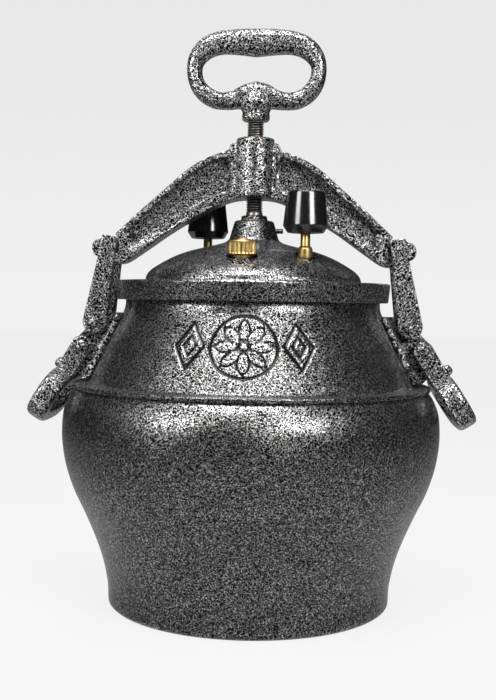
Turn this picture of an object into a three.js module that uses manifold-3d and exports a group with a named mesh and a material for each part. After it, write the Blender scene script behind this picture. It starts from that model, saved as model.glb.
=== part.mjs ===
// Clamp-yoke pressure canner: a pot-bellied cast pot, a domed lid on a gasket, and a screw that
// presses the lid down from an arched yoke hooked under two swinging links.
// Millimetres, +Z up. The origin is the centre of the pot's underside, the yoke runs along X,
// and the weight nearest the front (-Y) is on the +X side.

import * as THREE from 'three';
import { mergeVertices } from 'three/addons/utils/BufferGeometryUtils.js';
import Module from 'manifold-3d';

const wasm = await Module();
wasm.setup();

// ---------------------------------------------------------------- driving dimensions

const GAP = 0.3; // between pieces that touch
const ROUND = 36; // facets round the pot and lid
const SMALL = 12; // facets round small parts

const BASE_R = 100;
const BELLY_R = 133.5;
const BEAD_R = 126.5;
const BEAD_Z = 153.3; // underside of the waist bead
const BEAD_H = 3.7;
const NECK_R = 90; // at the mouth
const MOUTH_Z = 219;
const MOUTH_INNER_R = 80;
const WALL = 6.5;
const FLOOR = 8;

const LID_R = 97.1;
const LID_TOP_Z = 228.5; // flat rim
const SKIRT_Z = 215;
const SKIRT_INNER_R = 92;
const DOME_R = 76.4;
const HUB_Z = 272;
const HUB_R = 13.6; // at the hub's top
const COLLAR_R = 9.5;
const COLLAR_Z = 275.6;
const SOCKET_Z = 259; // floor of the screw's socket

const SCREW_R = 6; // M12
const SCREW_TOP = 359.5;
const SCREW_FOOT = 261.1;
const GROOVE_Z = 265; // the retention screw runs in this groove
const BUSH_R = 13.4;
const BUSH_TOP = 330.3;
const BUSH_BOTTOM = 288;

const RIB_HALF = 11; // lug rib and yoke end, between two legs
const LEG_INNER = 11.5;
const LEG_OUTER = 18.5;
const LINK_PIN = { x: 110.5, z: 199 };
const HOOK = { x: 101.3, z: 254.5, r: 5 }; // the link's crossbar
const HANDLE_PIN = { x: 120, z: 182 };
const HANDLE_TILT = 32; // degrees from hanging straight down
const PIN_R = 3;

const VALVE = { x: 36.8, y: 42.1 }; // weights: one at (+x, -y), one at (-x, +y)
const SAFETY = { x: -4.5, y: -58 };
const SPOT_Z = 244; // flat seats of the valve stems
const SAFETY_SPOT_Z = 243.5;

// ---------------------------------------------------------------- materials

const paint = (color) => new THREE.MeshStandardMaterial({ color, roughness: 0.3, metalness: 0.35 });
const potPaint = paint(0x4a4a4c);
const castPaint = paint(0x6a6a6c);
const brass = new THREE.MeshStandardMaterial({ color: 0xc39a45, roughness: 0.3, metalness: 1 });
const copper = new THREE.MeshStandardMaterial({ color: 0xc9764a, roughness: 0.35, metalness: 1 });
const steel = new THREE.MeshStandardMaterial({ color: 0x8a8886, roughness: 0.35, metalness: 1 });
const oiledSteel = new THREE.MeshStandardMaterial({ color: 0x3a3532, roughness: 0.4, metalness: 1 });
const blackPlastic = new THREE.MeshStandardMaterial({ color: 0x101010, roughness: 0.2 });
const rubber = new THREE.MeshStandardMaterial({ color: 0xd8d2c4, roughness: 0.7 });

// ---------------------------------------------------------------- shape helpers

function solid(geometry) {
  geometry.deleteAttribute('normal');
  geometry.deleteAttribute('uv');
  const merged = mergeVertices(geometry, 1e-4);
  const mesh = new wasm.Mesh({
    numProp: 3,
    vertProperties: new Float32Array(merged.attributes.position.array),
    triVerts: new Uint32Array(merged.index.array),
  });
  return new wasm.Manifold(mesh);
}

function geometryOf(body) {
  const mesh = body.getMesh();
  const geometry = new THREE.BufferGeometry();
  geometry.setAttribute('position', new THREE.BufferAttribute(mesh.vertProperties, 3));
  geometry.setIndex(new THREE.BufferAttribute(mesh.triVerts, 1));
  geometry.computeVertexNormals();
  return geometry;
}

// A closed [r, z] outline, listed anticlockwise, turned about Z.
function turned(outline, facets = SMALL) {
  const points = outline.map(([r, z]) => new THREE.Vector2(r, z));
  const closed = points[0].x > 0 ? [...points, points[0]] : points;
  return solid(new THREE.LatheGeometry(closed, facets).rotateX(Math.PI / 2));
}

// An upright cylinder or ring.
function disc(radius, low, high, bore = 0, facets = SMALL) {
  return turned([[bore, low], [radius, low], [radius, high], [bore, high]], facets);
}

// A round bar from a point, along a direction.
function bar(radius, from, direction, length, facets = SMALL) {
  const way = new THREE.Vector3(...direction).normalize();
  const turn = new THREE.Quaternion().setFromUnitVectors(new THREE.Vector3(0, 1, 0), way);
  const middle = new THREE.Vector3(...from).addScaledVector(way, length / 2);
  const geometry = new THREE.CylinderGeometry(radius, radius, length, facets);
  return solid(geometry.applyQuaternion(turn).translate(middle.x, middle.y, middle.z));
}

const acrossY = (radius, x, z, half, facets = SMALL) =>
  bar(radius, [x, -half, z], [0, 1, 0], 2 * half, facets);

// An outline in XZ, made thick along Y from low to high.
function plate(shape, low, high, segments = 12) {
  const geometry = new THREE.ExtrudeGeometry(shape, {
    depth: high - low, bevelEnabled: false, curveSegments: segments,
  });
  return solid(geometry.rotateX(Math.PI / 2).translate(0, high, 0));
}

// A flat ring in XZ with rounded edges, from clockwise outlines that leave room for the rounding.
function roundedRing(outer, inner, depth, edge) {
  const ring = new THREE.Shape(outer);
  ring.holes.push(new THREE.Path(inner.slice().reverse()));
  const geometry = new THREE.ExtrudeGeometry(ring, {
    depth: depth - 2 * edge, bevelThickness: edge, bevelSize: edge, bevelSegments: 1,
  });
  return geometry.translate(0, 0, edge - depth / 2).rotateX(Math.PI / 2);
}

function outlineOf(points) {
  return new THREE.Shape(points.map(([x, z]) => new THREE.Vector2(x, z)));
}

// A smooth run of points through the given ones.
function smooth(points, count) {
  const curve = new THREE.SplineCurve(points.map(([x, z]) => new THREE.Vector2(x, z)));
  return curve.getPoints(count).map((p) => [p.x, p.y]);
}

function box(low, high) {
  const size = high.map((value, i) => value - low[i]);
  const middle = high.map((value, i) => (value + low[i]) / 2);
  return solid(new THREE.BoxGeometry(...size).translate(...middle));
}

const mirrorX = (body) => body.mirror([1, 0, 0]);

const canner = new THREE.Group();

function add(name, body, material) {
  const mesh = new THREE.Mesh(geometryOf(body), material);
  mesh.name = name;
  canner.add(mesh);
}

// Adds a right-hand piece and its mirror image.
function addPair(name, body, material) {
  add(`${name}_right`, body, material);
  add(`${name}_left`, mirrorX(body), material);
}

// ---------------------------------------------------------------- pot

const shoulder = [[115.2, BEAD_Z + BEAD_H], [107.2, 173.6], [101.6, 185], [92.1, 205], [NECK_R, 213]];

function potOutside() {
  return [
    [BASE_R - 3, 0], [BASE_R, 2],
    ...smooth([[BASE_R + 0.5, 14], [104.3, 33], [114, 58], [125.1, 83], [BELLY_R - 1.3, 107],
      [BELLY_R, 125], [BELLY_R - 1.2, 138], [BELLY_R - 5.1, 148], [124.6, BEAD_Z]], 10),
    [BEAD_R, BEAD_Z + 0.6], [BEAD_R, BEAD_Z + BEAD_H - 0.6],
    ...shoulder,
    [NECK_R + 0.5, MOUTH_Z - 1], [NECK_R - 0.5, MOUTH_Z],
  ];
}

function potInside() {
  return [
    [MOUTH_INNER_R, MOUTH_Z], [MOUTH_INNER_R, 211],
    ...smooth([[92.1 - WALL, 200], [101.6 - WALL, 182], [113.9 - WALL, 157],
      [BELLY_R - WALL - 3.5, 140], [BELLY_R - WALL, 123], [BELLY_R - WALL - 2.5, 104],
      [114 - WALL, 60], [BASE_R - WALL + 1, 22]], 8),
    [BASE_R - WALL - 4, FLOOR],
  ];
}

// The shoulder as a plain solid, standing out by a given amount. Lugs are trimmed against it.
function shoulderSolid(offset) {
  const rows = shoulder.map(([r, z]) => [r + offset, z]);
  const low = [shoulder[0][0] + offset + 2, BEAD_Z];
  const high = [shoulder.at(-1)[0] + offset - 1, MOUTH_Z];
  return turned([[0, low[1]], low, ...rows, high, [0, high[1]]], ROUND);
}

// ---------------------------------------------------------------- lugs, rivets and pins

const PAD_THICK = 4.2;
const PAD_HALF = 24;
const PAD_LOW = 159;
const PAD_TOP = 205.5;
const SEAT = 0.45; // radial room under the pad, for the facets
const SLOPE = Math.atan2(101.6 - 107.2, 185 - 173.6); // lean of the shoulder
const RIVET_ROWS = [{ r: 104.9, z: 178.3 }, { r: 112, z: 163.5 }];
const RIVET_TURN = 10.5; // degrees either side of the lug's middle
const SHOULDER_WALL = 8; // along the radius, through the leaning wall
const RIVET = { shank: 2.5, head: 4.3, rise: 2.2 };

function rivetFrame(row, side) {
  const angle = THREE.MathUtils.degToRad(RIVET_TURN * side);
  const out = new THREE.Vector3(
    Math.cos(SLOPE) * Math.cos(angle), Math.cos(SLOPE) * Math.sin(angle), -Math.sin(SLOPE));
  const at = new THREE.Vector3(row.r * Math.cos(angle), row.r * Math.sin(angle), row.z);
  return { out, at };
}

function rivetHole({ out, at }) {
  const start = at.clone().addScaledVector(out, -14);
  return bar(RIVET.shank + GAP, start.toArray(), out.toArray(), 26, 8);
}

// Turned about Z from the clenched end inside the pot to the dome outside the pad.
function rivet({ out, at }) {
  const inner = -(SHOULDER_WALL * Math.cos(SLOPE) + 0.8);
  const outer = (PAD_THICK + SEAT) * Math.cos(SLOPE) + 0.45;
  const outline = [[0, inner - 1.4], [RIVET.head - 1, inner - 1.4], [RIVET.head - 0.4, inner],
    [RIVET.shank, inner], [RIVET.shank, outer], [RIVET.head, outer],
    [RIVET.head - 0.9, outer + RIVET.rise * 0.6], [0, outer + RIVET.rise]];
  const turn = new THREE.Quaternion().setFromUnitVectors(new THREE.Vector3(0, 0, 1), out);
  const place = new THREE.Matrix4().compose(at, turn, new THREE.Vector3(1, 1, 1));
  return turned(outline, 8).transform(place.toArray());
}

const rivetFrames = RIVET_ROWS.flatMap((row) => [-1, 1].map((side) => rivetFrame(row, side)));

function makeLug() {
  const ring = shoulderSolid(PAD_THICK + SEAT)
    .intersect(box([60, -PAD_HALF, PAD_LOW], [140, PAD_HALF, PAD_TOP]));
  const rib = new THREE.Shape();
  rib.moveTo(80, PAD_TOP);
  rib.lineTo(LINK_PIN.x + 2, PAD_TOP);
  rib.absarc(LINK_PIN.x, LINK_PIN.z, 7.3, Math.PI / 2 - 0.3, -0.55, true);
  rib.absarc(HANDLE_PIN.x, HANDLE_PIN.z, 7, 0.7, -0.45, true);
  rib.lineTo(125.4, 164);
  rib.lineTo(120.5, PAD_LOW);
  rib.lineTo(80, PAD_LOW);
  const holes = [LINK_PIN, HANDLE_PIN].map((pin) =>
    acrossY(PIN_R + GAP, pin.x, pin.z, RIB_HALF + 5));
  const body = ring.add(plate(rib, -RIB_HALF, RIB_HALF)).subtract(shoulderSolid(SEAT));
  return [...holes, ...rivetFrames.map(rivetHole)].reduce((cut, hole) => cut.subtract(hole), body);
}

// A pin across both legs, headed at each end.
function headedPin({ x, z }) {
  const end = LEG_OUTER + GAP;
  const half = [[PIN_R, end], [4, end], [4, end + 0.8], [2.6, end + 1.6], [0, end + 1.9]];
  const outline = [...half.map(([r, y]) => [r, -y]).reverse(), ...half];
  const turn = new THREE.Matrix4().makeRotationX(Math.PI / 2).setPosition(x, 0, z);
  return turned(outline, 12).transform(turn.toArray());
}

const holesThrough = (body, holes) => holes.reduce((cut, hole) => cut.subtract(hole), body);
const allRivetHoles = rivetFrames.map(rivetHole);
const pot = turned([[0, 0], ...potOutside(), ...potInside(), [0, FLOOR]], ROUND);
add('pot_body', holesThrough(pot, [...allRivetHoles, ...allRivetHoles.map(mirrorX)]), potPaint);
addPair('lug', makeLug(), castPaint);
rivetFrames.forEach((frame, i) => addPair(`lug_rivet_${i + 1}`, rivet(frame), castPaint));
addPair('link_pin', headedPin(LINK_PIN), castPaint);
addPair('handle_pin', headedPin(HANDLE_PIN), castPaint);

// ---------------------------------------------------------------- links

const HOOK_REACH = Math.hypot(LINK_PIN.x - HOOK.x, HOOK.z - LINK_PIN.z);
const HOOK_CLEAR_R = HOOK_REACH - HOOK.r; // the crossbar's nearest point to its pin

function makeLink() {
  const lean = Math.atan2(LINK_PIN.x - HOOK.x, HOOK.z - LINK_PIN.z);
  const eye = 8.5;
  const leg = new THREE.Shape();
  leg.absarc(LINK_PIN.x, LINK_PIN.z, eye, Math.PI + lean, 2 * Math.PI + lean, false);
  leg.absarc(HOOK.x, HOOK.z, 5.4, lean, Math.PI + lean, false);
  const nub = new THREE.Shape();
  nub.absellipse(HOOK.x + 7.4, HOOK.z - 3.4, 5.2, 6.4, 0, 2 * Math.PI);
  const legs = [-1, 1].map((side) => {
    const low = Math.min(side * LEG_INNER, side * LEG_OUTER);
    return plate(leg, low, low + LEG_OUTER - LEG_INNER, 8);
  });
  const hook = acrossY(HOOK.r, HOOK.x, HOOK.z, LEG_OUTER - 1);
  const nose = plate(nub, -LEG_INNER - 1, LEG_INNER + 1, 5);
  const keepClear = acrossY(HOOK_CLEAR_R, LINK_PIN.x, LINK_PIN.z, LEG_INNER, 48);
  const body = hook.add(nose).subtract(keepClear).add(legs[0]).add(legs[1]);
  return body.subtract(acrossY(PIN_R + GAP, LINK_PIN.x, LINK_PIN.z, LEG_OUTER + 1));
}

addPair('link', makeLink(), castPaint);

// ---------------------------------------------------------------- side handles

// Built hanging straight down from its pin, as an arch ring in the YZ plane, then tilted out.
function makeSideHandle() {
  const arm = new THREE.Shape();
  arm.absarc(0, 0, 7, 0, Math.PI, false);
  arm.lineTo(-6, -27);
  arm.lineTo(6, -27);
  const arms = [-LEG_OUTER, LEG_INNER].map((low) => plate(arm, low, low + LEG_OUTER - LEG_INNER));

  const ringHalf = 37;
  const ringTop = -21.5;
  const ringBottom = -61.5;
  const band = 11;
  const loop = (inset) => {
    const path = new THREE.Path();
    const half = ringHalf - inset;
    const top = ringTop - inset;
    const bottom = ringBottom + inset;
    const corner = 17 - inset / 2;
    path.moveTo(0, top);
    path.bezierCurveTo(half * 0.75, top, half, top - corner / 3, half, (top + bottom) / 2);
    path.bezierCurveTo(half, bottom + corner / 3, half * 0.7, bottom, 0, bottom);
    path.bezierCurveTo(-half * 0.7, bottom, -half, bottom + corner / 3, -half, (top + bottom) / 2);
    path.bezierCurveTo(-half, top - corner / 3, -half * 0.75, top, 0, top);
    return path;
  };
  const bevel = 4;
  const outer = loop(bevel).getPoints(6).slice(0, -1);
  const inner = loop(band - bevel).getPoints(5).slice(0, -1);
  const geometry = roundedRing(outer, inner, 14.6, bevel).rotateZ(Math.PI / 2);
  const stopNub = bar(3.6, [4, 0, -22], [1, 0, 0.25], 8.2, 12);
  const upright = [arms[0], arms[1], stopNub].reduce((sum, body) => sum.add(body), solid(geometry))
    .subtract(acrossY(PIN_R + GAP, 0, 0, LEG_OUTER + 1));
  const place = new THREE.Matrix4()
    .makeRotationY(-THREE.MathUtils.degToRad(HANDLE_TILT))
    .setPosition(HANDLE_PIN.x, 0, HANDLE_PIN.z);
  return upright.transform(place.toArray());
}

addPair('side_handle', makeSideHandle(), castPaint);

// ---------------------------------------------------------------- lid and what is on it

const BOSS_Z = 234; // flat undersides of the valve bosses
const STEM_HOLE_R = 4;
const NIPPLE_HOLE_R = 5;

function makeLid() {
  const outline = [
    [0, 250.5], [16, 250], ...smooth([[24, 248.6], [48, 243], [64, 235.5], [71, 229]], 5),
    [75, 223], [SKIRT_INNER_R, 223], [SKIRT_INNER_R, SKIRT_Z], [95.7, SKIRT_Z],
    [LID_R, LID_TOP_Z - 1], [LID_R - 1, LID_TOP_Z], [DOME_R + 0.6, LID_TOP_Z], [DOME_R, 231],
    ...smooth([[74.5, 234], [69.8, 238.3], [58.5, 244.8], [47.5, 249.3], [36.5, 252.3],
      [24, 255.5]], 8),
    [19, 257], [16.9, 259], [HUB_R + 0.4, HUB_Z - 1], [HUB_R - 0.6, HUB_Z], [COLLAR_R, HUB_Z],
    [COLLAR_R - 0.8, COLLAR_Z], [SCREW_R + GAP, COLLAR_Z], [SCREW_R + GAP, SOCKET_Z],
    [0, SOCKET_Z],
  ];
  let body = turned(outline, ROUND);
  for (const side of [1, -1]) {
    const [x, y] = [side * VALVE.x, -side * VALVE.y];
    body = body.add(disc(9, BOSS_Z, SPOT_Z - 1).translate([x, y, 0]))
      .subtract(disc(6.8, SPOT_Z, SPOT_Z + 12).translate([x, y, 0]))
      .subtract(disc(STEM_HOLE_R, 220, SPOT_Z + 1).translate([x, y, 0]));
  }
  return body.add(disc(10, BOSS_Z, SAFETY_SPOT_Z - 1).translate([SAFETY.x, SAFETY.y, 0]))
    .subtract(disc(10.5, SAFETY_SPOT_Z, SAFETY_SPOT_Z + 12).translate([SAFETY.x, SAFETY.y, 0]))
    .subtract(disc(NIPPLE_HOLE_R, 220, SAFETY_SPOT_Z + 1).translate([SAFETY.x, SAFETY.y, 0]))
    .subtract(bar(2.05, [SCREW_R - 1, 0, GROOVE_Z], [1, 0, 0], 20, 12));
}

add('lid', makeLid(), potPaint);
add('gasket', disc(90, MOUTH_Z + GAP, 223 - GAP, 79.5, ROUND), rubber);
add('thrust_disc', disc(SCREW_R - 0.1, SOCKET_Z + GAP, SCREW_FOOT - GAP), brass);
add('retention_screw', bar(1.75, [4.8, 0, GROOVE_Z], [1, 0, 0], 15.9, 12), oiledSteel);

const hexRing = (across, low, high, bore) => {
  const outside = new THREE.CylinderGeometry(across / Math.sqrt(3), across / Math.sqrt(3), high - low, 6)
    .rotateX(Math.PI / 2).translate(0, 0, (low + high) / 2);
  return solid(outside).subtract(disc(bore, low - 1, high + 1));
};

// Two weighted relief valves, alike but for their places.
for (const [name, side] of [['front', 1], ['rear', -1]]) {
  const at = [side * VALVE.x, -side * VALVE.y, 0];
  const stem = turned([[1.4, 224.5], [3.7, 224.5], [3.7, SPOT_Z + GAP], [5, SPOT_Z + GAP],
    [5, 251], [3.25, 252.4], [3.25, 271], [2.2, 272.4], [1.4, 272.4]], 14);
  const core = turned([[3.65, 262], [5.8, 262], [5.8, 283.4], [0, 283.4], [0, 274.5], [3.65, 272.7]]);
  const cap = turned([[6.2, 261.5], [12.3, 261.5], [15.25, 266], [13.2, 287.6], [12.2, 289],
    [0, 289], [0, 283.7], [6.2, 283.7]], 16);
  add(`${name}_valve_stem`, stem.translate(at), brass);
  add(`${name}_valve_washer`, disc(7.5, 232.2, BOSS_Z - GAP, 4).translate(at), copper);
  add(`${name}_valve_nut`, hexRing(12, 226.9, 231.9, 4).translate(at), brass);
  add(`${name}_weight_core`, core.translate(at), brass);
  add(`${name}_weight_cap`, cap.translate(at), blackPlastic);
}

// The over-pressure plug: a hollow nipple, a domed disc that bursts, and the cap that holds it.
const plugAt = [SAFETY.x, SAFETY.y, 0];
const nipple = turned([[2.5, 225], [4.7, 225], [4.7, SAFETY_SPOT_Z + GAP], [6.4, SAFETY_SPOT_Z + GAP],
  [6.4, 252.4], [2.5, 252.4]]);
const burstDisc = turned([[0, 256.1], [3.2, 255.4], [4.6, 253.3], [4.6, 252.7], [6.4, 252.7],
  [6.4, 253.3], [5.2, 253.3], [3.8, 255.9], [0, 256.9]]);
const plugCap = turned([[6.8, 245.4], [8.6, 245.4], [9.35, 246.2], [9.35, 254.1], [8.6, 254.9],
  [5.6, 254.9], [5.6, 253.6], [6.8, 253.6]], 16);
add('safety_nipple', nipple.translate(plugAt), brass);
add('safety_washer', disc(7.4, 232.2, BOSS_Z - GAP, 5).translate(plugAt), copper);
add('safety_nut', hexRing(13, 226.9, 231.9, 5).translate(plugAt), brass);
add('burst_disc', burstDisc.translate(plugAt), copper);
add('safety_cap', plugCap.translate(plugAt), brass);

// ---------------------------------------------------------------- screw and top handle

const GRIP_PIN_Z = 347;
const gripPin = (radius, half) => bar(radius, [-half, 0, GRIP_PIN_Z], [1, 0, 0], 2 * half, 10);

function makeSpindle() {
  const groove = 4.4;
  const outline = [[0, SCREW_FOOT], [SCREW_R - 0.7, SCREW_FOOT], [SCREW_R - 0.1, SCREW_FOOT + 0.7],
    [SCREW_R - 0.1, GROOVE_Z - 2], [groove, GROOVE_Z - 2], [groove, GROOVE_Z + 2],
    [SCREW_R - 0.1, GROOVE_Z + 2], [SCREW_R, GROOVE_Z + 3], [SCREW_R, SCREW_TOP - 1],
    [SCREW_R - 1, SCREW_TOP], [0, SCREW_TOP]];
  return turned(outline, 16).subtract(gripPin(1.8, 10));
}

function makeGrip() {
  const edge = 4; // rounding of the ring's section
  const depth = 17;
  const middle = 379;
  const half = 49.3;
  const outer = [[0, 407 - edge], [28, 404.5 - edge], [43 - edge / 2, 394 - edge / 2],
    [half - edge, middle], [42.5 - edge / 2, 359.5 + edge / 2], [28, 350.5 + edge], [0, 352 + edge]];
  const inner = [[0, 387.5 + edge], [26, 389 + edge], [36 + edge, 383], [38.5 + edge, 377],
    [36 + edge / 2, 368], [25, 363 - edge], [13, 366 - edge], [0, 370 - edge]];
  const closed = (points, count) => {
    const run = [...points, ...points.slice(1, -1).reverse().map(([x, z]) => [-x, z])];
    const curve = new THREE.CatmullRomCurve3(run.map(([x, z]) => new THREE.Vector3(x, z, 0)), true);
    return curve.getPoints(count).slice(0, -1).map((p) => new THREE.Vector2(p.x, p.y));
  };
  const geometry = roundedRing(closed(outer, 32), closed(inner, 28), depth, edge);
  const collar = turned([[0, 342], [8.4, 342], [9.8, 343], [9.8, 346.5], [11.5, 352], [11.5, 357],
    [8, 364], [0, 366]], 16);
  return solid(geometry).add(collar).subtract(disc(SCREW_R + GAP, 340, SCREW_TOP + GAP, 0, 16))
    .subtract(gripPin(1.8, 20));
}

add('spindle', makeSpindle(), oiledSteel);
add('top_grip', makeGrip(), castPaint);
add('grip_pin', gripPin(1.5, 9.6), steel);

// ---------------------------------------------------------------- yoke

const NOSE_R = HOOK_CLEAR_R - 0.5; // saddle under the crossbar, about the link's pin
const FLANGE_HALF = 13;
const WEB_HALF = 5;
const EAR_X = 19.5; // the yoke's shoulders beside its boss
const BOSS_R = 14.6;
const BOSS_TOP = 326.3;
const BUSH_SHANK_R = 10;

// Height of the saddle arc over the link's pin at a given x.
const saddle = (x) => LINK_PIN.z + Math.sqrt(NOSE_R ** 2 - (LINK_PIN.x - x) ** 2);

const mirrored = (points) => [...points, ...points.slice().reverse().map(([x, z]) => [-x, z])];

function yokeOutline() {
  const under = smooth([[6, 287.5], [19.6, 284.8], [36, 276.8], [58, 264], [76.5, 250.9],
    [89.5, 242], [95.7, 240.2], [102, 241.6]], 12);
  const saddleXs = [107.2, 104, 101, 98, 95.7];
  const over = smooth([[95.2, 258.1], [77, 275], [57.7, 291.8], [42.9, 304.5], [29.2, 312.2],
    [EAR_X, 315.8]], 9);
  return outlineOf(mirrored([...under, [106.2, 244.5], ...saddleXs.map((x) => [x, saddle(x) - 0.02]),
    ...over, [EAR_X - 0.3, 321.8], [EAR_X - 2, 324.8], [BOSS_R, 325.9]]));
}

// The hollow between the flanges, on one side of the boss.
function pocketOutline() {
  return outlineOf([...smooth([[19.5, 291.5], [36, 284.3], [58, 271], [76.5, 258.3], [90, 248.5]], 6),
    ...smooth([[91, 255.5], [77, 269.5], [57.7, 286.3], [42.9, 299], [29.2, 307.6], [19.5, 312.5]], 6)]);
}

function makeYoke() {
  const slab = plate(yokeOutline(), -FLANGE_HALF, FLANGE_HALF);
  const pockets = [[-FLANGE_HALF - 1, -WEB_HALF], [WEB_HALF, FLANGE_HALF + 1]].flatMap(([low, high]) => {
    const right = plate(pocketOutline(), low, high);
    return [right, mirrorX(right)];
  });
  // The ends narrow to fit between a link's legs.
  const cheeks = [1, -1].flatMap((side) => [1, -1].map((end) => {
    const [x1, x2] = [end * 93.5, end * 112].sort((a, b) => a - b);
    const [y1, y2] = [side * RIB_HALF, side * (FLANGE_HALF + 2)].sort((a, b) => a - b);
    return box([x1, y1, 230], [x2, y2, 270]);
  }));
  const hollowed = [...pockets, ...cheeks].reduce((cut, piece) => cut.subtract(piece), slab);
  const column = [-1, 1].map((side) =>
    disc(BOSS_R, 287.5, BOSS_TOP, 0, 20).translate([0, side * 5.4, 0]));
  const bore = disc(BUSH_SHANK_R + GAP, 280, BOSS_TOP + 3, 0, 16);
  return hollowed.add(column[0]).add(column[1]).subtract(bore);
}

add('yoke', makeYoke(), castPaint);
add('yoke_bush', turned([[SCREW_R + GAP, BUSH_BOTTOM], [BUSH_SHANK_R, BUSH_BOTTOM],
  [BUSH_SHANK_R, BOSS_TOP + GAP], [BUSH_R, BOSS_TOP + GAP], [BUSH_R, BUSH_TOP - 1.5],
  [BUSH_R - 1.5, BUSH_TOP], [SCREW_R + GAP, BUSH_TOP]], 16), castPaint);

export default canner;
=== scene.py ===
import math

import bmesh
import bpy
from mathutils import Matrix, Vector


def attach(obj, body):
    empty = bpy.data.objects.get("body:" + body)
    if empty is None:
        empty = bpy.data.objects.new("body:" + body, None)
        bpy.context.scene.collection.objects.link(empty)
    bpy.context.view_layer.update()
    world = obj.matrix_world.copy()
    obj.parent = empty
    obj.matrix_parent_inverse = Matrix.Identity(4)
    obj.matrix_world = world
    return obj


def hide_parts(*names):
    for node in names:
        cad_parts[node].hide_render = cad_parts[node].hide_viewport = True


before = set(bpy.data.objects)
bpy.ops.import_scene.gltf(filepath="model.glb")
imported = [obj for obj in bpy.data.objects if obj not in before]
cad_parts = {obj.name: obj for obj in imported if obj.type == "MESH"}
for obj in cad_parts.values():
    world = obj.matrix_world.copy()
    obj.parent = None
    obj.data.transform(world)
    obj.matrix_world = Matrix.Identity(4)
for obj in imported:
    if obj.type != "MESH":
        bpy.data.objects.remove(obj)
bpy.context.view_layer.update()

# Shapes are worked out in millimetres in the part's own frame, and scaled as each mesh is made.
MM = 0.001

# ------------------------------------------------------------------ driving sizes, millimetres

MOUTH_Z = 219.0
BEAD = (153.3, 157.0)  # low and high edge of the waist bead
LINK_PIN = (110.5, 199.0)
HOOK = (101.3, 254.5)  # the link's crossbar
HANDLE_PIN = (120.0, 182.0)
HANDLE_TILT = 32
LEG_INNER, LEG_OUTER = 11.5, 18.5
RIB_HALF = 11.0
THREAD_R, THREAD_PITCH = 6.0, 1.75
CAST_VOXEL = 0.62


# ------------------------------------------------------------------ curves and outlines

def spline(points, count):
    """A Catmull-Rom run of count + 1 points through the given ones."""
    padded = [points[0], *points, points[-1]]
    run = []
    spans = len(points) - 1
    for i in range(count + 1):
        s = min(i / count * spans, spans - 1e-9)
        k = int(s)
        t = s - k
        p0, p1, p2, p3 = padded[k:k + 4]
        run.append(tuple(
            0.5 * (2 * b + (c - a) * t + (2 * a - 5 * b + 4 * c - d) * t * t
                   + (3 * b - a - 3 * c + d) * t ** 3)
            for a, b, c, d in zip(p0, p1, p2, p3)))
    return run


def arc(cx, cz, radius, start, end, count):
    """Points of an arc, angles in degrees."""
    turns = (math.radians(start + (end - start) * i / count) for i in range(count + 1))
    return [(cx + radius * math.cos(a), cz + radius * math.sin(a)) for a in turns]


def softened(outline, radius, closed=True, steps=4):
    """The outline with each corner rounded off."""
    result = []
    count = len(outline)
    for i, corner in enumerate(outline):
        if not closed and i in (0, count - 1):
            result.append(corner)
            continue
        here = Vector(corner)
        before = Vector(outline[i - 1]) - here
        after = Vector(outline[(i + 1) % count]) - here
        angle = before.angle(after, math.pi)
        if angle > math.radians(168):
            result.append(corner)
            continue
        reach = min(radius / math.tan(angle / 2), before.length * 0.45, after.length * 0.45)
        first, last = here + before.normalized() * reach, here + after.normalized() * reach
        for k in range(steps + 1):
            t = k / steps
            result.append(tuple(first * (1 - t) ** 2 + here * 2 * t * (1 - t) + last * t * t))
    return result


# ------------------------------------------------------------------ closed shells: (points, faces)

def evenly(segments):
    return [2 * math.pi * i / segments for i in range(segments)]


def lathe(outline, spacing):
    """A closed [r, z] outline turned about Z. Points on the axis become one vertex each.

    spacing is a number of even segments, or the list of angles to use.
    """
    angles = evenly(spacing) if isinstance(spacing, int) else spacing
    verts, rows = [], []
    for r, z in outline:
        if r < 1e-6:
            rows.append([len(verts)] * len(angles))
            verts.append((0, 0, z))
        else:
            rows.append(range(len(verts), len(verts) + len(angles)))
            verts.extend((r * math.cos(a), r * math.sin(a), z) for a in angles)
    faces = []
    on_axis = outline[0][0] < 1e-6
    for i in range(len(rows) - 1 if on_axis else len(rows)):
        low, high = rows[i], rows[(i + 1) % len(rows)]
        for j in range(len(angles)):
            k = (j + 1) % len(angles)
            loop = []
            for index in (low[j], low[k], high[k], high[j]):
                if index not in loop:
                    loop.append(index)
            if len(loop) > 2:
                faces.append(loop)
    return verts, faces


def prism(outline, low, high, width=None):
    """An XZ outline made thick along Y. width(x) may scale the thickness along X."""
    scale = width or (lambda x: 1.0)
    count = len(outline)
    verts = [(x, y * scale(x), z) for y in (low, high) for x, z in outline]
    faces = [list(range(count)), list(range(2 * count - 1, count - 1, -1))]
    faces += [[i, i + count, (i + 1) % count + count, (i + 1) % count] for i in range(count)]
    return verts, faces


def loft(loops, closed=False):
    """Skins a row of loops that have the same number of points."""
    size = len(loops[0])
    verts = [p for loop in loops for p in loop]
    faces = []
    for i in range(len(loops) if closed else len(loops) - 1):
        a, b = i * size, (i + 1) % len(loops) * size
        faces += [[a + j, a + (j + 1) % size, b + (j + 1) % size, b + j] for j in range(size)]
    if not closed:
        faces += [list(range(size))[::-1], list(range(len(verts) - size, len(verts)))]
    return verts, faces


def moved(shell, matrix):
    verts, faces = shell
    return [tuple(matrix @ Vector(v)) for v in verts], faces


def shifted(shell, x=0.0, y=0.0, z=0.0):
    return moved(shell, Matrix.Translation((x, y, z)))


def mirrored(shell):
    """The mirror image across the YZ plane."""
    verts, faces = shell
    return [(-x, y, z) for x, y, z in verts], [face[::-1] for face in faces]


def rod(outline, x, z, segments=40):
    """A [r, y] outline turned about an axis along Y."""
    turn = Matrix.Translation((x, 0, z)) @ Matrix.Rotation(math.radians(-90), 4, "X")
    return moved(lathe(outline, segments), turn)


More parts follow.
